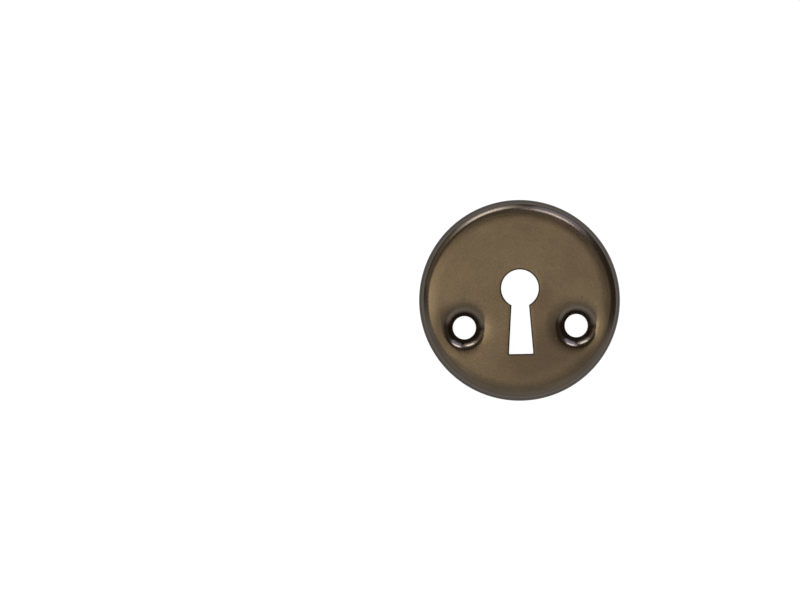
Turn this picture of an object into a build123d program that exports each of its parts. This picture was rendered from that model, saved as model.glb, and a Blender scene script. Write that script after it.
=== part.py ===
"""Round key escutcheon, pressed from one disc of sheet brass.

The plate is a shallow cup with a keyhole pierced through its face and two screw seats drawn down
from it. It lies on its rim: z = 0 is the door, +Z points out of the door and +Y points up it.
"""

import os
from math import cos, radians, sin, tan

from build123d import *

# Sheet and outline
sheet_thickness = 1.0
plate_diameter = 52.0

# Rim: the face bends down into a steep straight skirt, trimmed flat at the door
bend_radius = 3.3
bend_angle = 75.0
skirt_height = 1.05

# Screw seats: their holes end a little short of the door, so that the screws pull the rim tight
screw_hole_diameter = 6.0
screw_angle = 25.2
seat_angle = 90.0
seat_lip_radius = 3.3
seat_land_width = 0.3
seat_clearance = 0.3
seat_margin = 0.11

# Keyhole: a round hole for the shank, with a slot below it that widens towards its foot
shank_hole_diameter = 9.7
shank_hole_raise = 3.1
slot_head_width = 3.9
slot_foot_width = 6.3
slot_drop = 13.8
slot_corner_radius = 0.3
pierced_edge_break = 0.3

# Sizes of the cup that follow from its rim
plate_radius = plate_diameter / 2
bend = radians(bend_angle)
plate_height = skirt_height + bend_radius * (1 - cos(bend))
flat_radius = plate_radius - skirt_height / tan(bend) - bend_radius * sin(bend)

# Each seat is a cone, and its back is the same cone moved out by the sheet
half_seat = radians(seat_angle / 2)
screw_hole_radius = screw_hole_diameter / 2
seat_foot = seat_clearance + (sheet_thickness / cos(half_seat) - seat_land_width) / tan(half_seat)
seat_mouth_radius = screw_hole_radius + (plate_height - seat_foot) * tan(half_seat)
seat_reach = seat_mouth_radius + seat_lip_radius * tan((radians(90) - half_seat) / 2)
boss_height = plate_height - sheet_thickness / 2 - seat_clearance
boss_foot_radius = screw_hole_radius + seat_land_width
boss_head_radius = boss_foot_radius + boss_height * tan(half_seat)

# The rolled lips of the seats end a margin short of the rim's bend, one on each side of the slot
screw_circle_radius = flat_radius - seat_margin - seat_reach
screw_x = screw_circle_radius * cos(radians(screw_angle))
screw_y = -screw_circle_radius * sin(radians(screw_angle))

with BuildPart() as plate:
    # Drawn cup: the line of the front, given the thickness of the sheet and turned about Z
    with BuildSketch(Plane.XZ):
        with BuildLine():
            face_line = Line((0, plate_height), (flat_radius, plate_height))
            bend_arc = JernArc(face_line @ 1, (1, 0), bend_radius, -bend_angle)
            PolarLine(bend_arc @ 1, skirt_height / sin(bend) + sheet_thickness, -bend_angle)
            offset(amount=sheet_thickness, side=Side.RIGHT)
        make_face()
    revolve(axis=Axis.Z)
    split(bisect_by=Plane.XY)

    # Backs of the screw seats, blended into the underside of the face
    with Locations((-screw_x, screw_y, seat_clearance), (screw_x, screw_y, seat_clearance)):
        Cone(
            boss_foot_radius,
            boss_head_radius,
            boss_height,
            align=(Align.CENTER, Align.CENTER, Align.MIN),
        )
    fillet(plate.edges(Select.NEW), seat_lip_radius - sheet_thickness)

    # Screw holes and the cones above them, with a rolled lip where the face turns down
    with Locations((-screw_x, screw_y, plate_height), (screw_x, screw_y, plate_height)):
        CounterSinkHole(screw_hole_radius, seat_mouth_radius, counter_sink_angle=seat_angle)
    fillet(plate.faces().sort_by(Axis.Z)[-1].inner_wires().edges(), seat_lip_radius)

    # Keyhole, with its front edge taken off
    with BuildSketch(Plane.XY.offset(plate_height)) as keyhole:
        Polygon(
            (-slot_head_width / 2, shank_hole_raise),
            (-slot_foot_width / 2, -slot_drop),
            (slot_foot_width / 2, -slot_drop),
            (slot_head_width / 2, shank_hole_raise),
            align=None,
        )
        fillet(keyhole.vertices().group_by(Axis.Y)[0], slot_corner_radius)
        with Locations((0, shank_hole_raise)):
            Circle(shank_hole_diameter / 2)
    extrude(amount=plate_height, both=True, mode=Mode.SUBTRACT)
    chamfer(plate.edges(Select.NEW).group_by(Axis.Z)[-1], pierced_edge_break)

plate.part.label = "escutcheon_plate"
os.makedirs("parts", exist_ok=True)
export_step(plate.part, "parts/escutcheon_plate.step")
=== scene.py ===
"""Dressed scene of a round key escutcheon: pressed brass sheet, oxidised brown and brushed.

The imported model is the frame. The plate's solid is replaced by a finer pressing of the same form,
which a node tree makes from a flat blank, and a small photo studio is set round it. Sizes are in
millimetres and degrees, but the lengths of the table and the lamps are in metres. Blender gets
metres and radians.
"""

import logging
import math
from collections.abc import Mapping, Sequence
from dataclasses import dataclass, field
from enum import Enum

import bpy
import numpy as np
from bpy.types import Material, Mesh, Node, NodeOutputs, NodeSocket, NodeTree, Object, World
from mathutils import Matrix, Vector
from mathutils.geometry import delaunay_2d_cdt

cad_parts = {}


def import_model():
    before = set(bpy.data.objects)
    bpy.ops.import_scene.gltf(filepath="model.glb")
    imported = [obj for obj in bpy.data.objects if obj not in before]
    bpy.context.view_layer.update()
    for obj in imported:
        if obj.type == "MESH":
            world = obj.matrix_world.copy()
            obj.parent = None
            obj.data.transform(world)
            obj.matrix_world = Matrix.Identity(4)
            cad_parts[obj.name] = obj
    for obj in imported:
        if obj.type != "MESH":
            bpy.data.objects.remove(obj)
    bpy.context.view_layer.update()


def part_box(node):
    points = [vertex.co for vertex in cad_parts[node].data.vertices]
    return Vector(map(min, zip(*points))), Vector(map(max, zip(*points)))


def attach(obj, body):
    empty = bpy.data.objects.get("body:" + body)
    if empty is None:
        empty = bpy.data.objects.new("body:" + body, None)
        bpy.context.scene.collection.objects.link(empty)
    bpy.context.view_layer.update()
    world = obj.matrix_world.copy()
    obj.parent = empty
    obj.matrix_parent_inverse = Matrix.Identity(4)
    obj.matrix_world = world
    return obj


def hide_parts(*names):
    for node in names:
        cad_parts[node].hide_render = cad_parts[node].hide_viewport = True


LOG = logging.getLogger("escutcheon")
MM = 0.001
DEGREE = math.pi / 180
PLATE_NODE = "escutcheon_plate"

# Attributes of the blank's points, which the press reads and then removes
BLANK_ATTRIBUTES = {"home": "FLOAT_VECTOR", "fall": "FLOAT", "gap": "FLOAT"}

# Kinds of node that are used often, and the places of the Mix node's sockets
MATH = "ShaderNodeMath"
VECTOR_MATH = "ShaderNodeVectorMath"
COMBINE = "ShaderNodeCombineXYZ"
CLAMP = "ShaderNodeClamp"
MAP_RANGE = "ShaderNodeMapRange"
MIX = "ShaderNodeMix"
NOISE = "ShaderNodeTexNoise"
COLOUR_A, COLOUR_B, COLOUR_OUT = 6, 7, 2
VECTOR_A, VECTOR_B, VECTOR_OUT = 4, 5, 1


class Skin(Enum):
    """The two skins of the sheet."""

    FRONT = "front"
    BACK = "back"


class Trait(Enum):
    """What the press tells the finish about each point, from 0 to 1."""

    FRONT = "front"
    BRUSHED = "brushed"
    WORN = "worn"
    SHELTERED = "sheltered"
    FOOT = "foot"


def linear(hex_colour: str) -> tuple[float, float, float, float]:
    """Turns an sRGB colour into the linear colour that Blender takes.

    Args:
        hex_colour: The colour as six hex digits after a hash.

    Returns:
        Red, green and blue in linear light, and an alpha of 1.
    """
    parts = [int(hex_colour[i:i + 2], 16) / 255 for i in (1, 3, 5)]
    red, green, blue = (p / 12.92 if p <= 0.04045 else ((p + 0.055) / 1.055) ** 2.4 for p in parts)
    return red, green, blue, 1.0


def add_node(tree: NodeTree, kind: str, inputs: Mapping | Sequence = (),
             **settings: object) -> Node:
    """Adds a node to a tree, with its settings and what feeds it.

    Args:
        tree: The tree that the node joins.
        kind: Blender's name for this type of node.
        inputs: A value, a socket, a node (its first output) or a list of these for each input, in
            order or by name or place.
        **settings: The node's own settings.

    Returns:
        The new node.
    """
    node = tree.nodes.new(kind)
    for name, value in settings.items():
        setattr(node, name, value)
    for key, value in inputs.items() if isinstance(inputs, Mapping) else enumerate(inputs):
        for feed in value if isinstance(value, list) else [value]:
            if isinstance(feed, Node):
                feed = feed.outputs[0]
            if isinstance(feed, NodeSocket):
                tree.links.new(feed, node.inputs[key])
            else:
                node.inputs[key].default_value = feed
    return node


@dataclass(frozen=True)
class Fade:
    """An even change from one level to another, between two places on a scale."""

    start: float
    end: float
    before: float = 0.0
    after: float = 1.0

    def inputs(self, place: Node | NodeSocket, unit: float = 1.0) -> dict[str, object]:
        """Gives a Map Range node's inputs, to read the level at a place on the scale."""
        return {"Value": place, "From Min": self.start * unit, "From Max": self.end * unit,
                "To Min": self.before, "To Max": self.after}


@dataclass(frozen=True)
class Mark:
    """A mark, or a patch of painted shade, on the front of the plate: its ends, its width, its
    colour and how much it covers.

    The core is the share of the width that has the full cover.
    """

    start: tuple[float, float]
    end: tuple[float, float]
    width: float
    colour: str
    cover: float = 1.0
    core: float = 0.3


@dataclass(frozen=True)
class BrownOxidisedBrass:
    """Brass that was oxidised brown and brushed in rings: a warm brown with a soft, even sheen.

    The pressed bends were not reached by the brush and shine more sharply, the edges are rubbed a
    little paler, and the back is plain and matt.
    """

    brown: str = "#73644E"
    deep_brown: str = "#625442"
    # Dark oxide in the seats, which is also painted shade on the keyhole's rounded edge
    oxide_and_shade_brown: str = "#423930"
    # Painted reflection: the grey that the white table gives the rim's steep foot
    foot_reflection_grey: str = "#544F49"
    rubbed: str = "#7D7060"
    back_brown: str = "#5A4D3F"
    back_mottle: str = "#4A3F34"
    edge_grey: str = "#B4B4B4"

    # Roughness, from pressed to brushed, from one brush line to the next, and over the mottled back
    front_roughness: Fade = Fade(0.0, 1.0, 0.17, 0.34)
    streak_roughness: Fade = Fade(0.3, 0.7, -0.03, 0.03)
    back_roughness: Fade = Fade(0.0, 1.0, 0.4, 0.5)

    # Patterns: their sizes, how much of each shows, and how strongly
    brush_pitch: float = 0.4
    brush_waves: float = 3.0
    grain_size: float = 0.3
    cloud_size: float = 9.0
    roll_pitch: float = 0.3
    roll_length: float = 60.0
    cloud_share: float = 0.3
    brush_share: float = 0.22
    grain_share: float = 0.48
    back_grain_share: float = 0.6
    back_roll_share: float = 0.4
    contrast: Fade = Fade(0.4, 0.6)
    rubbed_patches: Fade = Fade(0.25, 0.55, 0.5, 1.0)
    ridged_face: Fade = Fade(0.8, 1.0)
    ridge_height: float = 0.02
    ridge_strength: float = 0.05

    # Patches of painted shade on the face
    painted_shades: tuple[Mark, ...] = (
        Mark((2.0, -16.0), (12.5, -11.0), 8.5, "#3D312C", 0.42),
        Mark((5.5, 0.0), (6.0, -8.0), 5.0, "#3D312C", 0.22),
        Mark((-20.0, -4.0), (-20.0, -10.0), 4.0, "#3D312C", 0.36),
    )
    marks: tuple[Mark, ...] = (
        Mark((15.75, 0.75), (16.05, 0.25), 0.12, "#33291F"),
        Mark((8.86, -10.02), (8.86, -9.9), 0.2, "#C9BCA6", 0.28),
    )

    def material(self) -> Material:
        """Builds the finish.

        Returns:
            The material, which reads the traits that the press gives to the plate.
        """
        brass = bpy.data.materials.new("brown_oxidised_brushed_brass")
        brass.use_nodes = True
        tree = brass.node_tree
        tree.nodes.clear()
        place = add_node(tree, "ShaderNodeTexCoord").outputs["Object"]
        flat = add_node(tree, VECTOR_MATH, (place, (1, 1, 0)), operation="MULTIPLY")
        front, brushed, worn, sheltered, foot = (
            add_node(tree, "ShaderNodeAttribute", attribute_name=trait.value).outputs["Fac"]
            for trait in Trait)

        # Brush lines run in rings: the noise changes fast with the radius and slowly along the
        # ring. Real ones are a third as wide, too fine for the picture, so these are drawn coarser
        radius = add_node(tree, VECTOR_MATH, (flat,), operation="LENGTH").outputs["Value"]
        across = add_node(tree, MATH, (radius, 1 / (self.brush_pitch * MM)), operation="MULTIPLY")
        along = add_node(tree, VECTOR_MATH, (flat,), operation="NORMALIZE")
        along = add_node(tree, VECTOR_MATH, {0: along, "Scale": self.brush_waves},
                         operation="SCALE")
        lift = add_node(tree, COMBINE, {"Z": across})
        strokes = add_node(tree, VECTOR_MATH, (along, lift), operation="ADD")
        brush = add_node(tree, NOISE, {"Vector": strokes, "Scale": 1.0, "Detail": 1.0})

        # The oxide lies unevenly: wide faint clouds, and a grain that breaks up the brush lines,
        # also drawn coarser than the real one
        clouds, grain = (
            add_node(tree, NOISE, {"Vector": place, "Scale": 1 / (size * MM), "Detail": detail})
            for size, detail in ((self.cloud_size, 3.0), (self.grain_size, 2.0)))
        tone = self.tone(tree, ((clouds, self.cloud_share), (brush, self.brush_share),
                                (grain, self.grain_share)))
        patches = add_node(tree, MAP_RANGE, self.rubbed_patches.inputs(clouds))
        rub = add_node(tree, MATH, (worn, patches), operation="MULTIPLY")
        colour = self.coated(tree, self.deep_brown, (
            (tone, self.brown),
            # Painted shade: wide soft darker patches on the face near the screw seats and the
            # keyhole
            *((self.cover(tree, flat, shade_patch), shade_patch.colour) for shade_patch in self.painted_shades),
            # The foot of the rim is painted greyer as a painted reflection of the white table, and
            # the bends and lips that hands touch are rubbed
            (foot, self.foot_reflection_grey),
            (rub, self.rubbed),
            # Oxide stays thick and dark in the screw seats; the same dark on the keyhole's punched
            # edge is partly oxide and partly painted shade along its rounded edge
            (sheltered, self.oxide_and_shade_brown),
            *((self.cover(tree, flat, mark), mark.colour) for mark in self.marks),
        ))

        # The back is the rolled sheet, never brushed: dull and mottled, with faint straight lines,
        # coarser than real ones
        stretch = (1 / (self.roll_length * MM), 1 / (self.roll_pitch * MM), 0)
        rolled = add_node(tree, VECTOR_MATH, (place, stretch), operation="MULTIPLY")
        lines = add_node(tree, NOISE, {"Vector": rolled, "Scale": 1.0, "Detail": 1.0})
        mottle = self.tone(tree, ((grain, self.back_grain_share), (lines, self.back_roll_share)))
        back = self.coated(tree, self.back_brown, ((mottle, self.back_mottle),))
        dull = add_node(tree, MAP_RANGE, self.back_roughness.inputs(mottle))
        colour = add_node(tree, MIX, {"Factor": front, COLOUR_A: back, COLOUR_B: colour},
                          data_type="RGBA").outputs[COLOUR_OUT]

        # The brushed face is the softest part of the front
        rough = add_node(tree, MAP_RANGE, self.front_roughness.inputs(brushed))
        streak = add_node(tree, MAP_RANGE, self.streak_roughness.inputs(brush))
        rough = add_node(tree, MATH, (streak, brushed, rough), operation="MULTIPLY_ADD")
        rough = add_node(tree, MIX, {"Factor": front, "A": dull, "B": rough})
        open_face = add_node(tree, MAP_RANGE, self.ridged_face.inputs(brushed))
        ridges = add_node(tree, MATH, (brush, open_face), operation="MULTIPLY")
        bump = add_node(tree, "ShaderNodeBump", {
            "Strength": self.ridge_strength, "Distance": self.ridge_height * MM, "Height": ridges})
        shader = add_node(tree, "ShaderNodeBsdfPrincipled", {
            "Base Color": colour, "Metallic": 1.0, "Roughness": rough, "Normal": bump,
            "Specular Tint": linear(self.edge_grey)})
        add_node(tree, "ShaderNodeOutputMaterial", {"Surface": shader})
        return brass

    def tone(self, tree: NodeTree, patterns: Sequence[tuple[Node, float]]) -> Node:
        """Adds patterns up.

        Args:
            tree: The material's tree.
            patterns: Each pattern and its share of the sum.

        Returns:
            The sum, with its contrast raised.
        """
        total = 0.0
        for pattern, share in patterns:
            total = add_node(tree, MATH, (pattern, share, total), operation="MULTIPLY_ADD")
        return add_node(tree, MAP_RANGE, self.contrast.inputs(total))

    def coated(self, tree: NodeTree, ground: str, coats: Sequence[tuple[Node, str]]) -> NodeSocket:
        """Lays coats of colour over each other.

        Args:
            tree: The material's tree.
            ground: The colour under the coats.
            coats: How much each coat covers, from 0 to 1, and its colour, from the lowest up.

        Returns:
            The colour that shows.
        """
        colour = linear(ground)
        for cover, shade in coats:
            colour = add_node(tree, MIX, {
                "Factor": cover, COLOUR_A: colour, COLOUR_B: linear(shade)},
                data_type="RGBA").outputs[COLOUR_OUT]
        return colour

    def cover(self, tree: NodeTree, flat: Node, mark: Mark) -> Node:
        """Adds a mark's place.

        Args:
            tree: The material's tree.
            flat: The point on the plate, in plan.
            mark: The mark.

        Returns:
            How much the mark covers the point, from 0 to 1.
        """
        start, end = Vector((*mark.start, 0.0)) * MM, Vector((*mark.end, 0.0)) * MM
        run = end - start
        away = add_node(tree, VECTOR_MATH, (flat, tuple(start)), operation="SUBTRACT")
        along = add_node(tree, VECTOR_MATH, (away, tuple(run / run.length_squared)),
                         operation="DOT_PRODUCT")
        along = add_node(tree, CLAMP, (along.outputs["Value"], 0.0, 1.0))
        nearest = add_node(tree, VECTOR_MATH, {0: tuple(run), "Scale": along}, operation="SCALE")
        gap = add_node(tree, VECTOR_MATH, (away, nearest), operation="DISTANCE").outputs["Value"]
        fade = Fade(mark.core * mark.width, mark.width, mark.cover, 0.0)
        return add_node(tree, MAP_RANGE, fade.inputs(gap, MM))


@dataclass(frozen=True)
class WearAndShadeZones:
    """Where the finish of the front changes, and where shade and a reflection are painted on it.

    Drops are depths in a screw seat in millimetres, turns are angles of the rim in degrees, and
    nears run from 0, clear of the keyhole's rounded edge, to 1 at its wall.
    """

    brushed_drop: Fade = Fade(0.06, 0.28, 1.0, 0.0)
    brushed_turn: Fade = Fade(2.0, 20.0, 1.0, 0.25)
    worn_turn: Fade = Fade(12.0, 30.0)
    worn_end_turn: Fade = Fade(35.0, 60.0, 0.4, 0.0)
    worn_drop: Fade = Fade(0.28, 0.6)
    sheltered_drop: Fade = Fade(0.6, 0.92, 0.0, 0.75)
    # The keyhole's rounded edge: partly oxide, partly painted shade
    edge_shade_near: Fade = Fade(0.05, 0.4, 0.0, 0.9)
    # The rim's foot, where its grey is a painted reflection
    foot_reflection_turn: Fade = Fade(26.0, 44.0)

    def traits(self, tree: NodeTree, drop: Node, turned: Node,
               near: Node) -> dict[Trait, Node | float]:
        """Adds what the finish has to know about the front skin.

        Args:
            tree: The press.
            drop: How far the point is drawn down into a seat.
            turned: The angle that the rim has turned there.
            near: How near the point is to the keyhole's wall, from 0 to 1.

        Returns:
            Each trait of the point.
        """
        level = add_node(tree, MAP_RANGE, self.brushed_drop.inputs(drop, MM))
        upper = add_node(tree, MAP_RANGE, self.brushed_turn.inputs(turned, DEGREE))
        away = add_node(tree, MATH, (1.0, near), operation="SUBTRACT")
        brushed = add_node(tree, MATH, (level, upper), operation="MULTIPLY")
        brushed = add_node(tree, MATH, (brushed, away), operation="MULTIPLY")
        bend = add_node(tree, MAP_RANGE, self.worn_turn.inputs(turned, DEGREE))
        skirt = add_node(tree, MAP_RANGE, self.worn_end_turn.inputs(turned, DEGREE))
        rim = add_node(tree, MATH, (bend, skirt), operation="MULTIPLY")
        lip = add_node(tree, MAP_RANGE, self.worn_drop.inputs(drop, MM))
        worn = add_node(tree, MATH, (rim, lip), operation="MAXIMUM")
        seat = add_node(tree, MAP_RANGE, self.sheltered_drop.inputs(drop, MM))
        # Painted shade, partly oxide, along the keyhole's rounded edge
        edge = add_node(tree, MAP_RANGE, self.edge_shade_near.inputs(near))
        sheltered = add_node(tree, MATH, (seat, edge), operation="MAXIMUM")
        # The rim's foot, painted grey as a reflection
        foot = add_node(tree, MAP_RANGE, self.foot_reflection_turn.inputs(turned, DEGREE))
        return {Trait.FRONT: 1.0, Trait.BRUSHED: brushed, Trait.WORN: worn,
                Trait.SHELTERED: sheltered, Trait.FOOT: foot}


def circle(radius: float, count: int, centre: tuple[float, float] = (0.0, 0.0),
           stagger: bool = False) -> np.ndarray:
    """Spaces points on a circle.

    Args:
        radius: The circle's radius.
        count: How many points it has.
        centre: The circle's centre.
        stagger: True to start half a step round.

    Returns:
        The points, anticlockwise.
    """
    turns = (np.arange(count) + 0.5 * stagger) * 2 * math.pi / count
    return np.column_stack((np.cos(turns), np.sin(turns))) * radius + centre


def inside(points: np.ndarray, loop: np.ndarray) -> np.ndarray:
    """Finds the points that lie inside a closed loop.

    Args:
        points: The points to test, one a row.
        loop: The loop's corners, one a row.

    Returns:
        True for each point that is inside.
    """
    x, y = points[:, :1], points[:, 1:]
    x0, y0 = loop.T
    x1, y1 = np.roll(loop, -1, axis=0).T
    crosses = (y0 > y) != (y1 > y)
    rise = np.where(y1 == y0, 1.0, y1 - y0)
    return np.sum(crosses & (x < x0 + (y - y0) * (x1 - x0) / rise), axis=1) % 2 == 1


@dataclass
class Blank:
    """A flat blank: rings of points, bands between them and a field that fills the rest.

    Each point keeps its home on the blank, how far it has fallen down a cut edge (0 at the front,
    1 at the back) and its gap to the keyhole, which only matters near it.
    """

    meeting_distance: float = 1e-7
    least_area: float = 1e-9
    homes: list[tuple[float, float]] = field(default_factory=list)
    falls: list[float] = field(default_factory=list)
    gaps: list[float] = field(default_factory=list)
    faces: list[tuple[int, ...]] = field(default_factory=list)

    def ring(self, points: np.ndarray, fall: float = 0.0, gap: float = 1.0) -> np.ndarray:
        """Adds points.

        Args:
            points: Their homes.
            fall: How far they have fallen down a cut edge.
            gap: Their gap to the keyhole.

        Returns:
            The numbers of the new points.
        """
        start = len(self.homes)
        self.homes.extend((float(x), float(y)) for x, y in points)
        self.falls.extend([fall] * len(points))
        self.gaps.extend([gap] * len(points))
        return np.arange(start, len(self.homes))

    def bands(self, rings: Sequence[np.ndarray]) -> None:
        """Joins rings of equal count with quads.

        Args:
            rings: The rings, anticlockwise, from the outermost to the innermost.
        """
        for outer, inner in zip(rings, rings[1:]):
            quads = np.stack((outer, np.roll(outer, -1), np.roll(inner, -1), inner), axis=1)
            self.faces.extend(map(tuple, quads.tolist()))

    def fill(self, outline: np.ndarray, holes: Sequence[np.ndarray], loose: np.ndarray) -> None:
        """Fills the field between an outline and its holes with triangles.

        Args:
            outline: The ring round the field.
            holes: The rings inside it.
            loose: Homes of the points that the triangles also meet at.
        """
        loops = [outline, *holes]
        numbers = np.concatenate([*loops, self.ring(loose)])
        edges, start = [], 0
        for loop in loops:
            edges += [(start + i, start + (i + 1) % len(loop)) for i in range(len(loop))]
            start += len(loop)
        spots = [Vector(self.homes[n]) for n in numbers]
        _, _, triangles, origins, _, _ = delaunay_2d_cdt(
            spots, edges, [], 0, self.meeting_distance)
        corners = np.array([[numbers[origins[v][0]] for v in triangle] for triangle in triangles])
        homes = np.array(self.homes)
        a, b, c = (homes[corners[:, i]] for i in range(3))
        ab, ac = b - a, c - a
        area = ab[:, 0] * ac[:, 1] - ab[:, 1] * ac[:, 0]
        corners[area < 0] = corners[area < 0][:, ::-1]
        kept = ~np.any([inside((a + b + c) / 3, homes[hole]) for hole in holes], axis=0)
        kept &= np.abs(area) > self.least_area
        self.faces.extend(map(tuple, corners[kept].tolist()))

    def mesh(self, name: str) -> Mesh:
        """Makes the blank's mesh.

        Args:
            name: The mesh's name.

        Returns:
            The mesh, in metres, with each point's home, fall and gap as attributes.
        """
        mesh = bpy.data.meshes.new(name)
        homes = np.column_stack((np.array(self.homes) * MM, np.zeros(len(self.homes))))
        mesh.from_pydata(homes.tolist(), [], self.faces)
        values = {"home": homes.ravel(), "fall": self.falls, "gap": np.array(self.gaps) * MM}
        for attribute, kind in BLANK_ATTRIBUTES.items():
            part = "vector" if kind == "FLOAT_VECTOR" else "value"
            mesh.attributes.new(attribute, kind, "POINT").data.foreach_set(part, values[attribute])
        return mesh


def cosine_of(tree: NodeTree, sine: Node) -> Node:
    """Adds the cosine of the angle that has this sine."""
    angle = add_node(tree, MATH, (sine,), operation="ARCSINE")
    return add_node(tree, MATH, (angle,), operation="COSINE")


@dataclass
class EscutcheonPlate:
    """The pressed plate: a round face that eases into its rim, two screw seats and a keyhole."""

    height: float
    radius: float = 26.0
    sheet: float = 1.0

    # Rim: the face eases down, then the bend turns it into the skirt
    ease_radius: float = 16.0
    ease_angle: float = 9.0
    bend_radius: float = 3.3
    bend_angle: float = 75.0

    # Screw seats: a shallow dish, a lip and a cone down to the hole
    seat_x: float = 14.4524
    seat_y: float = -6.8008
    hole_radius: float = 3.0
    seat_foot: float = 1.4142
    seat_slope: float = 45.0
    dish_radius: float = 18.0
    dish_angle: float = 9.0
    lip_radius: float = 3.5
    seat_clearance: float = 0.3

    # Keyhole: a round for the key's shank over a slot that widens to its foot
    shank_radius: float = 4.85
    shank_raise: float = 3.1
    slot_head: float = 3.9
    slot_foot_width: float = 6.3
    slot_drop: float = 13.8
    slot_corner: float = 0.3
    edge_radius: float = 0.4

    # Points round each ring of the blank, and along each part of the keyhole
    rim_points: int = 360
    seat_points: int = 180
    round_points: int = 110
    side_points: int = 34
    corner_points: int = 9
    slot_foot_points: int = 16

    # Rings across each bend of the blank, and the margins between rings and field
    skirt_rings: int = 4
    bend_rings: int = 18
    shoulder_rings: int = 10
    ease_rings: int = 9
    dish_rings: int = 15
    lip_rings: int = 15
    cone_rings: int = 5
    edge_rings: int = 8
    field_pitch: float = 0.8
    seat_margin: float = 0.1
    rim_margin: float = 0.25
    ring_margin: float = 0.12
    field_margin: float = 0.4
    keyhole_margin: float = 0.45

    # Pressing: points this close become one, and edges up to this angle are smooth
    joining_distance: float = 0.002
    smooth_angle: float = 30.0
    zones: WearAndShadeZones = WearAndShadeZones()

    # Sizes that follow from the others
    flat_radius: float = field(init=False)
    bend_start: float = field(init=False)
    skirt_start: float = field(init=False)
    blank_radius: float = field(init=False)
    lip_end: float = field(init=False)
    dish_end: float = field(init=False)
    seat_reach: float = field(init=False)
    seat_floor: float = field(init=False)

    def __post_init__(self) -> None:
        """Works out the sizes that follow from the others."""
        ease, bend = math.radians(self.ease_angle), math.radians(self.bend_angle)
        dish, slope = math.radians(self.dish_angle), math.radians(self.seat_slope)
        skirt_drop = (self.height - self.ease_radius * (1 - math.cos(ease))
                      - self.bend_radius * (math.cos(ease) - math.cos(bend)))
        self.flat_radius = (self.radius - self.ease_radius * math.sin(ease)
                            - skirt_drop / math.tan(bend)
                            - self.bend_radius * (math.sin(bend) - math.sin(ease)))
        self.bend_start = self.flat_radius + self.ease_radius * ease
        self.skirt_start = self.bend_start + self.bend_radius * (bend - ease)
        self.blank_radius = self.skirt_start + skirt_drop / math.sin(bend)
        cone_drop = (self.height - self.seat_foot - self.dish_radius * (1 - math.cos(dish))
                     - self.lip_radius * (math.cos(dish) - math.cos(slope)))
        self.lip_end = self.hole_radius + cone_drop / math.tan(slope)
        self.dish_end = self.lip_end + self.lip_radius * (math.sin(slope) - math.sin(dish))
        self.seat_reach = self.dish_end + self.dish_radius * math.sin(dish)
        self.seat_floor = self.height - self.sheet - self.seat_clearance

    def seat_distance(self, points: np.ndarray) -> np.ndarray:
        """Gives each point's distance from the axis of the nearer screw seat."""
        return np.hypot(np.abs(points[:, 0]) - self.seat_x, points[:, 1] - self.seat_y)

    def keyhole(self, gap: float) -> np.ndarray:
        """Draws the keyhole's outline.

        Args:
            gap: How far the outline is moved out into the plate.

        Returns:
            The outline's points, anticlockwise from the right of the neck.
        """
        lean = math.atan2((self.slot_foot_width - self.slot_head) / 2,
                          self.shank_raise + self.slot_drop)
        reach = math.cos(lean) * self.slot_head / 2 + math.sin(lean) * self.shank_raise
        round_radius = self.shank_radius + gap
        neck = lean - math.acos((reach + gap - math.sin(lean) * self.shank_raise) / round_radius)
        turns = np.linspace(neck, math.pi - neck, self.round_points)
        head = np.column_stack((np.cos(turns), np.sin(turns))) * round_radius
        head += (0, self.shank_raise)
        corner_y = self.slot_corner - self.slot_drop
        corner_x = (reach - self.slot_corner - math.sin(lean) * corner_y) / math.cos(lean)
        turns = np.linspace(math.pi - lean, 1.5 * math.pi, self.corner_points)
        left = np.column_stack((np.cos(turns), np.sin(turns))) * (self.slot_corner + gap)
        left += (-corner_x, corner_y)
        right = left[::-1] * (-1, 1)
        side = np.linspace(head[-1], left[0], self.side_points)[1:-1]
        foot = np.linspace(left[-1], right[0], self.slot_foot_points)[1:-1]
        return np.concatenate((head, side, left, foot, right, side[::-1] * (-1, 1)))

    def spread(self) -> np.ndarray:
        """Spreads points evenly over the level part of the face.

        Returns:
            The points, clear of the rim, the screw seats and the keyhole.
        """
        row_pitch = math.sqrt(0.75)
        count = math.ceil(self.radius / (row_pitch * self.field_pitch))
        rows = range(-count, count + 1)
        points = np.array([(i + 0.5 * (j % 2), j * row_pitch) for j in rows for i in rows])
        points *= self.field_pitch
        keyhole = self.keyhole(self.edge_radius)
        away = np.min(np.hypot(*(points[:, None] - keyhole[None]).transpose(2, 0, 1)), axis=1)
        clear = np.hypot(*points.T) < self.flat_radius - self.field_margin
        clear &= self.seat_distance(points) > self.seat_reach + self.field_margin
        clear &= (away > self.keyhole_margin) & ~inside(points, keyhole)
        return points[clear]

    def blank(self) -> Blank:
        """Lays out the flat blank.

        Returns:
            The blank, with its points close together where the pressing bends it.
        """
        blank = Blank()
        seat_join = self.seat_reach + self.seat_margin
        rim_join = math.hypot(self.seat_x, self.seat_y) + seat_join + self.rim_margin

        # Rim, from its cut foot in to the edge of the field
        spans = np.concatenate((
            np.linspace(self.blank_radius, self.skirt_start, self.skirt_rings)[:-1],
            np.linspace(self.skirt_start, rim_join, self.bend_rings)))
        outer = circle(self.blank_radius, self.rim_points)
        foot = [blank.ring(outer, fall) for fall in (1.0, 0.5)]
        rim = [blank.ring(circle(span, self.rim_points)) for span in spans]
        blank.bands(foot + rim)

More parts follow.
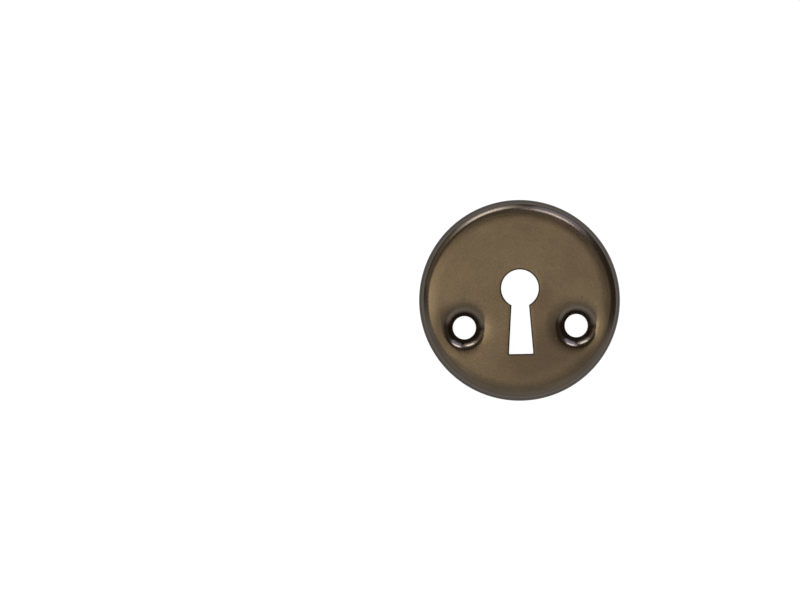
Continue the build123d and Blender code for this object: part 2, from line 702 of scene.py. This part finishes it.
        # Screw seats, from the edge of the field in to the hole and down its wall
        slopes = np.radians(np.linspace(self.dish_angle, self.seat_slope, self.lip_rings))
        lips = self.dish_end - self.lip_radius * (np.sin(slopes) - math.sin(slopes[0]))
        land_end = self.hole_radius + self.seat_clearance
        spans = np.concatenate((
            [seat_join], np.linspace(self.seat_reach, self.dish_end, self.dish_rings)[:-1], lips,
            np.linspace(self.lip_end, land_end, self.cone_rings)[1:], [self.hole_radius]))
        joins = []
        for centre in ((-self.seat_x, self.seat_y), (self.seat_x, self.seat_y)):
            seat = [blank.ring(circle(span, self.seat_points, centre)) for span in spans]
            hole = circle(self.hole_radius, self.seat_points, centre)
            wall = [blank.ring(hole, fall) for fall in (0.5, 1.0)]
            blank.bands(seat + wall)
            joins.append(seat[0])

        # Keyhole, from the start of its rounded edge in and down its wall
        turns = np.radians(np.linspace(0, 90, self.edge_rings))
        gaps = self.edge_radius * (1 - np.sin(turns))
        edge = [blank.ring(self.keyhole(gap), 0.0, gap) for gap in gaps]
        wall = [blank.ring(self.keyhole(0.0), fall, 0.0) for fall in (1 / 3, 2 / 3, 1.0)]
        blank.bands(edge + wall)

        # Field between them: rings where the face eases down, and an even spread inside those
        spans = np.concatenate((
            np.linspace(rim_join, self.bend_start, self.shoulder_rings)[1:-1],
            np.linspace(self.bend_start, self.flat_radius, self.ease_rings)))
        loose = []
        for i, span in enumerate(spans):
            ring = circle(span, self.rim_points, stagger=i % 2 == 0)
            loose.append(ring[self.seat_distance(ring) > seat_join + self.ring_margin])
        loose.append(self.spread())
        blank.fill(rim[-1], [*joins, edge[0]], np.concatenate(loose))
        return blank

    def press_sizes(self) -> dict[str, float]:
        """Lists the sizes that the press takes.

        Returns:
            Each input's name and its value, in metres or radians.
        """
        lengths = ("height", "sheet", "flat_radius", "ease_radius", "bend_radius", "seat_x",
                   "seat_y", "seat_reach", "dish_radius", "lip_radius", "edge_radius", "seat_floor")
        angles = ("ease_angle", "bend_angle", "dish_angle", "seat_slope")
        return {name.replace("_", " ").capitalize(): getattr(self, name) * unit
                for names, unit in ((lengths, MM), (angles, DEGREE)) for name in names}

    def rim_rule(self, tree: NodeTree, size: NodeOutputs, home: Node,
                 skin: Skin) -> tuple[Node, Node, Node]:
        """Adds the rule that turns the blank's edge down into the rim.

        Args:
            tree: The press.
            size: The press's inputs.
            home: The point's home on the blank.
            skin: The skin that is made.

        Returns:
            The point's place in plan, its height, and the angle that the rim has turned there.
        """
        span = add_node(tree, VECTOR_MATH, (home,), operation="LENGTH").outputs["Value"]
        outward = add_node(tree, VECTOR_MATH, (home,), operation="NORMALIZE")

        # How far the face has eased, the bend has turned and the skirt has run at this point
        past = add_node(tree, MATH, (span, size["Flat radius"]), operation="SUBTRACT")
        ratio = add_node(tree, MATH, (past, size["Ease radius"]), operation="DIVIDE")
        eased = add_node(tree, CLAMP, (ratio, 0.0, size["Ease angle"]))
        run = add_node(tree, MATH, (size["Ease radius"], size["Ease angle"]), operation="MULTIPLY")
        past = add_node(tree, MATH, (past, run), operation="SUBTRACT")
        ratio = add_node(tree, MATH, (past, size["Bend radius"]), operation="DIVIDE")
        most = add_node(tree, MATH, (size["Bend angle"], size["Ease angle"]), operation="SUBTRACT")
        turned = add_node(tree, CLAMP, (ratio, 0.0, most))
        turned = add_node(tree, MATH, (turned, size["Ease angle"]), operation="ADD")
        run = add_node(tree, MATH, (size["Bend radius"], most), operation="MULTIPLY")
        past = add_node(tree, MATH, (past, run), operation="SUBTRACT")
        skirt = add_node(tree, MATH, (past, 0.0), operation="MAXIMUM")

        # The back skin follows the same centres of bend, a sheet further in
        ease_radius, bend_radius, top = size["Ease radius"], size["Bend radius"], size["Height"]
        if skin is Skin.BACK:
            ease_radius, bend_radius, top = (
                add_node(tree, MATH, (whole, size["Sheet"]), operation="SUBTRACT")
                for whole in (ease_radius, bend_radius, top))
        angles = {"eased": eased, "turned": turned,
                  "ease": size["Ease angle"], "bend": size["Bend angle"]}
        sines, cosines = (
            {name: add_node(tree, MATH, (angle,), operation=rule) for name, angle in angles.items()}
            for rule in ("SINE", "COSINE"))
        out = add_node(tree, MATH, (span, size["Flat radius"]), operation="MINIMUM")
        out = add_node(tree, MATH, (sines["eased"], ease_radius, out), operation="MULTIPLY_ADD")
        swing = add_node(tree, MATH, (sines["turned"], sines["ease"]), operation="SUBTRACT")
        out = add_node(tree, MATH, (swing, bend_radius, out), operation="MULTIPLY_ADD")
        out = add_node(tree, MATH, (skirt, cosines["bend"], out), operation="MULTIPLY_ADD")
        sink = add_node(tree, MATH, (cosines["eased"], 1.0), operation="SUBTRACT")
        level = add_node(tree, MATH, (sink, ease_radius, top), operation="MULTIPLY_ADD")
        sink = add_node(tree, MATH, (cosines["turned"], cosines["ease"]), operation="SUBTRACT")
        level = add_node(tree, MATH, (sink, bend_radius, level), operation="MULTIPLY_ADD")
        sink = add_node(tree, MATH, (skirt, sines["bend"]), operation="MULTIPLY")
        level = add_node(tree, MATH, (level, sink), operation="SUBTRACT")

        # The skirt is trimmed flat at the door
        below = add_node(tree, MATH, (level, 0.0), operation="MINIMUM")
        lean = add_node(tree, MATH, (size["Bend angle"],), operation="TANGENT")
        back = add_node(tree, MATH, (below, lean), operation="DIVIDE")
        out = add_node(tree, MATH, (out, back), operation="ADD")
        level = add_node(tree, MATH, (level, 0.0), operation="MAXIMUM")
        plan = add_node(tree, VECTOR_MATH, {0: outward, "Scale": out}, operation="SCALE")
        return plan, level, turned

    def seat_rule(self, tree: NodeTree, size: NodeOutputs, plan: Node, skin: Skin) -> Node:
        """Adds the rule that draws the face down into the screw seats.

        Args:
            tree: The press.
            size: The press's inputs.
            plan: The point's place in plan.
            skin: The skin that is made.

        Returns:
            How far the point is drawn down.
        """
        dish_radius, lip_radius = size["Dish radius"], size["Lip radius"]
        if skin is Skin.BACK:
            dish_radius, lip_radius = (
                add_node(tree, MATH, (whole, size["Sheet"]), operation="SUBTRACT")
                for whole in (dish_radius, lip_radius))

        # The seats are alike, so one side of the plate is folded onto the other
        axis = add_node(tree, COMBINE, (size["Seat x"], size["Seat y"]))
        parts = add_node(tree, "ShaderNodeSeparateXYZ", (plan,))
        aside = add_node(tree, MATH, (parts.outputs["X"],), operation="ABSOLUTE")
        folded = add_node(tree, COMBINE, (aside, parts.outputs["Y"]))
        away = add_node(tree, VECTOR_MATH, (folded, axis), operation="DISTANCE").outputs["Value"]
        depth = add_node(tree, MATH, (size["Seat reach"], away), operation="SUBTRACT")
        depth = add_node(tree, MATH, (depth, 0.0), operation="MAXIMUM")

        # Dish: an arc from level to the dish angle
        dish_sine = add_node(tree, MATH, (size["Dish angle"],), operation="SINE")
        dish_cosine = add_node(tree, MATH, (size["Dish angle"],), operation="COSINE")
        dish_width = add_node(tree, MATH, (dish_radius, dish_sine), operation="MULTIPLY")
        step = add_node(tree, MATH, (depth, dish_width), operation="MINIMUM")
        step = add_node(tree, MATH, (step, dish_radius), operation="DIVIDE")
        step = add_node(tree, MATH, (1.0, cosine_of(tree, step)), operation="SUBTRACT")
        drop = add_node(tree, MATH, (step, dish_radius), operation="MULTIPLY")

        # Lip: a tighter arc from there to the slope of the cone
        slope_sine = add_node(tree, MATH, (size["Seat slope"],), operation="SINE")
        swing = add_node(tree, MATH, (slope_sine, dish_sine), operation="SUBTRACT")
        lip_width = add_node(tree, MATH, (swing, lip_radius), operation="MULTIPLY")
        depth = add_node(tree, MATH, (depth, dish_width), operation="SUBTRACT")
        step = add_node(tree, CLAMP, (depth, 0.0, lip_width))
        step = add_node(tree, MATH, (step, lip_radius), operation="DIVIDE")
        step = add_node(tree, MATH, (step, dish_sine), operation="ADD")
        step = add_node(tree, MATH, (dish_cosine, cosine_of(tree, step)), operation="SUBTRACT")
        drop = add_node(tree, MATH, (step, lip_radius, drop), operation="MULTIPLY_ADD")

        # Cone: straight on down to the hole, or on the back to the land round it
        slope = add_node(tree, MATH, (size["Seat slope"],), operation="TANGENT")
        step = add_node(tree, MATH, (depth, lip_width), operation="SUBTRACT")
        step = add_node(tree, MATH, (step, 0.0), operation="MAXIMUM")
        drop = add_node(tree, MATH, (step, slope, drop), operation="MULTIPLY_ADD")
        if skin is Skin.BACK:
            drop = add_node(tree, MATH, (drop, size["Seat floor"]), operation="MINIMUM")
        return drop

    def press(self, brass: Material) -> NodeTree:
        """Builds the press, which shapes the blank into the plate.

        Args:
            brass: The plate's finish.

        Returns:
            The node tree, with the sizes as its named inputs.
        """
        tree = bpy.data.node_groups.new("press_plate", "GeometryNodeTree")
        tree.interface.new_socket("Blank", in_out="INPUT", socket_type="NodeSocketGeometry")
        for name in self.press_sizes():
            tree.interface.new_socket(name, in_out="INPUT", socket_type="NodeSocketFloat")
        tree.interface.new_socket("Plate", in_out="OUTPUT", socket_type="NodeSocketGeometry")
        size = add_node(tree, "NodeGroupInput").outputs
        home, fall, gap = (
            add_node(tree, "GeometryNodeInputNamedAttribute", {"Name": name}, data_type=kind)
            for name, kind in BLANK_ATTRIBUTES.items())

        spots, traits = {}, {}
        for skin in Skin:
            plan, level, turned = self.rim_rule(tree, size, home, skin)
            drop = self.seat_rule(tree, size, plan, skin)
            level = add_node(tree, MATH, (level, drop), operation="SUBTRACT")
            if skin is Skin.FRONT:
                # The keyhole's front edge is rounded over
                near = add_node(tree, MATH, (gap, size["Edge radius"]), operation="DIVIDE")
                near = add_node(tree, MATH, (near, 1.0), operation="MINIMUM")
                near = add_node(tree, MATH, (1.0, near), operation="SUBTRACT")
                over = add_node(tree, MATH, (cosine_of(tree, near), 1.0), operation="SUBTRACT")
                level = add_node(tree, MATH, (over, size["Edge radius"], level),
                                 operation="MULTIPLY_ADD")
                traits = self.zones.traits(tree, drop, turned, near)
            rise = add_node(tree, COMBINE, {"Z": level})
            spots[skin] = add_node(tree, VECTOR_MATH, (plan, rise), operation="ADD")

        # Cut edges run straight from the front skin to the back one, where the two are joined
        wall = add_node(tree, MIX, {
            "Factor": fall, VECTOR_A: spots[Skin.FRONT], VECTOR_B: spots[Skin.BACK]},
            data_type="VECTOR").outputs[VECTOR_OUT]
        front, back = (
            add_node(tree, "GeometryNodeSetPosition", {"Geometry": size["Blank"], "Position": spot})
            for spot in (wall, spots[Skin.BACK]))
        for trait, amount in traits.items():
            front, back = (
                add_node(tree, "GeometryNodeStoreNamedAttribute",
                         {"Geometry": side, "Name": trait.value, "Value": value},
                         data_type="FLOAT", domain="POINT")
                for side, value in ((front, amount), (back, 0.0)))
        back = add_node(tree, "GeometryNodeFlipFaces", {"Mesh": back})
        plate = add_node(tree, "GeometryNodeJoinGeometry", {"Geometry": [front, back]})
        plate = add_node(tree, "GeometryNodeMergeByDistance",
                         {"Geometry": plate, "Distance": self.joining_distance * MM})
        for name in BLANK_ATTRIBUTES:
            plate = add_node(tree, "GeometryNodeRemoveAttribute", {"Geometry": plate, "Name": name})
        angle = add_node(tree, "GeometryNodeInputMeshEdgeAngle")
        soft = add_node(tree, "FunctionNodeCompare", {0: angle, 1: math.radians(self.smooth_angle)},
                        data_type="FLOAT", operation="LESS_THAN")
        for domain, smooth in (("FACE", True), ("EDGE", soft)):
            plate = add_node(tree, "GeometryNodeSetShadeSmooth",
                             {"Geometry": plate, "Shade Smooth": smooth}, domain=domain)
        plate = add_node(tree, "GeometryNodeRealizeInstances", {"Geometry": plate})
        plate = add_node(tree, "GeometryNodeSetMaterial", {"Geometry": plate, "Material": brass})
        add_node(tree, "NodeGroupOutput", {"Plate": plate})
        return tree

    def build(self, brass: Material) -> Object:
        """Presses the plate and puts it in the place of its solid.

        Args:
            brass: The plate's finish.

        Returns:
            The finished piece.
        """
        piece = bpy.data.objects.new("pressed_plate", self.blank().mesh("plate_blank"))
        bpy.context.scene.collection.objects.link(piece)
        tree = self.press(brass)
        modifier = piece.modifiers.new("press", "NODES")
        modifier.node_group = tree
        sizes = self.press_sizes()
        for socket in tree.interface.items_tree:
            if socket.in_out == "INPUT" and socket.name in sizes:
                modifier[socket.identifier] = sizes[socket.name]
        piece.data.update()
        depsgraph = bpy.context.evaluated_depsgraph_get()
        mesh = bpy.data.meshes.new_from_object(piece.evaluated_get(depsgraph), depsgraph=depsgraph)
        piece.modifiers.remove(modifier)
        piece.data = mesh
        mesh.name = "pressed_plate"
        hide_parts(PLATE_NODE)
        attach(piece, "root")
        return piece


@dataclass(frozen=True)
class Softbox:
    """A soft lamp that faces the plate: the way to it from the plate, its size and its radiance.

    The width runs round the plate, unless a plan angle is given for it.
    """

    name: str
    azimuth: float
    off_vertical: float
    distance: float
    width: float
    depth: float
    radiance: float
    colour: str = "#FFFAF0"
    width_angle: float | None = None

    def build(self) -> Object:
        """Hangs the lamp.

        Returns:
            The lamp's object.
        """
        lamp = bpy.data.lights.new(self.name, "AREA")
        lamp.shape = "RECTANGLE"
        lamp.size, lamp.size_y = self.width, self.depth
        lamp.energy = self.radiance * math.pi * self.width * self.depth
        lamp.color = linear(self.colour)[:3]
        azimuth, tilt = math.radians(self.azimuth), math.radians(self.off_vertical)
        run = azimuth + math.pi / 2 if self.width_angle is None else math.radians(self.width_angle)
        way = Vector((math.sin(tilt) * math.cos(azimuth), math.sin(tilt) * math.sin(azimuth),
                      math.cos(tilt)))
        side = Vector((math.cos(run), math.sin(run), 0.0))
        side = (side - way * side.dot(way)).normalized()
        hung = bpy.data.objects.new(self.name, lamp)
        turn = Matrix((side, way.cross(side), way)).transposed().to_4x4()
        hung.matrix_world = Matrix.Translation(way * self.distance) @ turn
        hung.visible_camera = False
        bpy.context.scene.collection.objects.link(hung)
        return hung


@dataclass
class Studio:
    """The photo studio: a white table, a room that is brighter in front, and its lamps."""

    table_width: float = 12.0
    table_drop: float = 0.00002
    table_glow: float = 0.93
    table_paint: str = "#7C7C7C"
    horizon: str = "#FFFFFF"
    dim_side: str = "#5A5752"
    bright_side: str = "#C8CCD6"
    brightest_way: tuple[float, float, float] = (-0.12, -0.99, 0.0)
    side_fade: Fade = Fade(0.0, 0.35)
    horizon_fade: Fade = Fade(0.0, 0.06)
    lamps: tuple[Softbox, ...] = (
        Softbox("overhead_softbox", 7.4, 2.07, 0.75, 0.21, 0.287, 1.32, width_angle=-12),
        Softbox("left_softbox", 176, 22.5, 0.75, 0.27, 0.4, 2.1, width_angle=-90),
        Softbox("left_wall", 150, 60, 0.7, 0.5, 0.42, 0.3),
        Softbox("right_card", -10, 21, 0.75, 0.28, 0.28, 0.42),
        Softbox("window_strip", 107, 58, 0.7, 0.26, 0.2, 4.4, "#E6ECFF"),
        Softbox("window_glow", 108, 64, 0.7, 0.5, 0.4, 1.3, "#E6ECFF"),
        Softbox("narrow_strip", 63, 42, 0.7, 0.2, 0.13, 9.0, "#D6DCFF"),
        Softbox("corner_panel", 60, 64, 0.7, 0.38, 0.4, 1.5, "#C6D1FF"),
    )

    def table_material(self) -> Material:
        """Builds the table's white.

        Returns:
            A material that looks white to the camera and in the metal, and takes a shadow.
        """
        white = bpy.data.materials.new("white_table")
        white.use_nodes = True
        tree = white.node_tree
        tree.nodes.clear()
        path = add_node(tree, "ShaderNodeLightPath").outputs
        seen = path["Is Camera Ray"]
        for ray in ("Is Glossy Ray", "Is Transmission Ray"):
            seen = add_node(tree, MATH, (seen, path[ray]), operation="MAXIMUM")
        glow = add_node(tree, MATH, (seen, self.table_glow), operation="MULTIPLY")
        paint = add_node(tree, "ShaderNodeBsdfDiffuse", {"Color": linear(self.table_paint)})
        shine = add_node(tree, "ShaderNodeEmission", {"Strength": glow})
        both = add_node(tree, "ShaderNodeAddShader", (paint, shine))
        add_node(tree, "ShaderNodeOutputMaterial", {"Surface": both})
        return white

    def table(self) -> Object:
        """Lays the table under the plate.

        Returns:
            The table.
        """
        half, level = self.table_width / 2, -self.table_drop
        mesh = bpy.data.meshes.new("table")
        corners = [(x * half, y * half, level) for x, y in ((-1, -1), (1, -1), (1, 1), (-1, 1))]
        mesh.from_pydata(corners, [], [(0, 1, 2, 3)])
        mesh.materials.append(self.table_material())
        table = bpy.data.objects.new("table", mesh)
        bpy.context.scene.collection.objects.link(table)
        return table

    def room_world(self) -> World:
        """Builds the room round the table.

        Returns:
            The world: white at the horizon, and above it brighter in front than at the back.
        """
        world = bpy.data.worlds.new("studio_room")
        world.use_nodes = True
        tree = world.node_tree
        tree.nodes.clear()
        way = add_node(tree, "ShaderNodeTexCoord").outputs["Generated"]
        facing = add_node(tree, VECTOR_MATH, (way, self.brightest_way), operation="DOT_PRODUCT")
        height = add_node(tree, "ShaderNodeSeparateXYZ", (way,)).outputs["Z"]
        tone = linear(self.bright_side)
        for fade, place, shade in ((self.side_fade, facing.outputs["Value"], self.dim_side),
                                   (self.horizon_fade, height, self.horizon)):
            share = add_node(tree, MAP_RANGE, fade.inputs(place), interpolation_type="SMOOTHSTEP")
            tone = add_node(tree, MIX, {"Factor": share, COLOUR_A: linear(shade), COLOUR_B: tone},
                            data_type="RGBA").outputs[COLOUR_OUT]
        glow = add_node(tree, "ShaderNodeBackground", {"Color": tone, "Strength": 1.0})
        add_node(tree, "ShaderNodeOutputWorld", {"Surface": glow})
        bpy.context.scene.world = world
        return world

    def build(self) -> None:
        """Lays the table, sets the room and hangs the lamps."""
        self.table()
        self.room_world()
        for lamp in self.lamps:
            lamp.build()


@dataclass
class OverheadCamera:
    """The camera of the photograph: straight above, and a little to the left of the plate."""

    lens: float = 100.0
    sensor: float = 36.0
    height: float = 575.3
    aside: float = -30.95
    along: float = 0.09
    turn: float = 1.1
    nearest: float = 10.0
    furthest: float = 50000.0

    def build(self) -> Object:
        """Hangs the camera.

        Returns:
            The scene's camera.
        """
        camera = bpy.data.cameras.new("overhead_camera")
        camera.lens, camera.sensor_width = self.lens, self.sensor
        camera.clip_start, camera.clip_end = self.nearest * MM, self.furthest * MM
        turn = math.radians(self.turn)
        across = Vector((math.cos(turn), -math.sin(turn), 0.0))
        up = Vector((math.sin(turn), math.cos(turn), 0.0))
        hung = bpy.data.objects.new("overhead_camera", camera)
        hung.location = (across * self.aside + up * self.along + Vector((0, 0, self.height))) * MM
        hung.rotation_euler = (0.0, 0.0, -turn)
        bpy.context.scene.collection.objects.link(hung)
        bpy.context.scene.camera = hung
        return hung


def main() -> None:
    """Builds the plate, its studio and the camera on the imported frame."""
    logging.basicConfig(level=logging.INFO, format="%(name)s: %(message)s")
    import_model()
    _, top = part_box(PLATE_NODE)
    brass = BrownOxidisedBrass().material()
    piece = EscutcheonPlate(height=top[2] / MM).build(brass)
    LOG.info("%s: %d points, %d faces", piece.name, len(piece.data.vertices),
             len(piece.data.polygons))
    studio = Studio()
    studio.build()
    LOG.info("studio: table, room and %d lamps", len(studio.lamps))
    camera = OverheadCamera().build()
    LOG.info("%s: lens %.0f mm", camera.name, camera.data.lens)
    bpy.context.scene.view_settings.view_transform = "Standard"


if __name__ == "__main__":
    main()
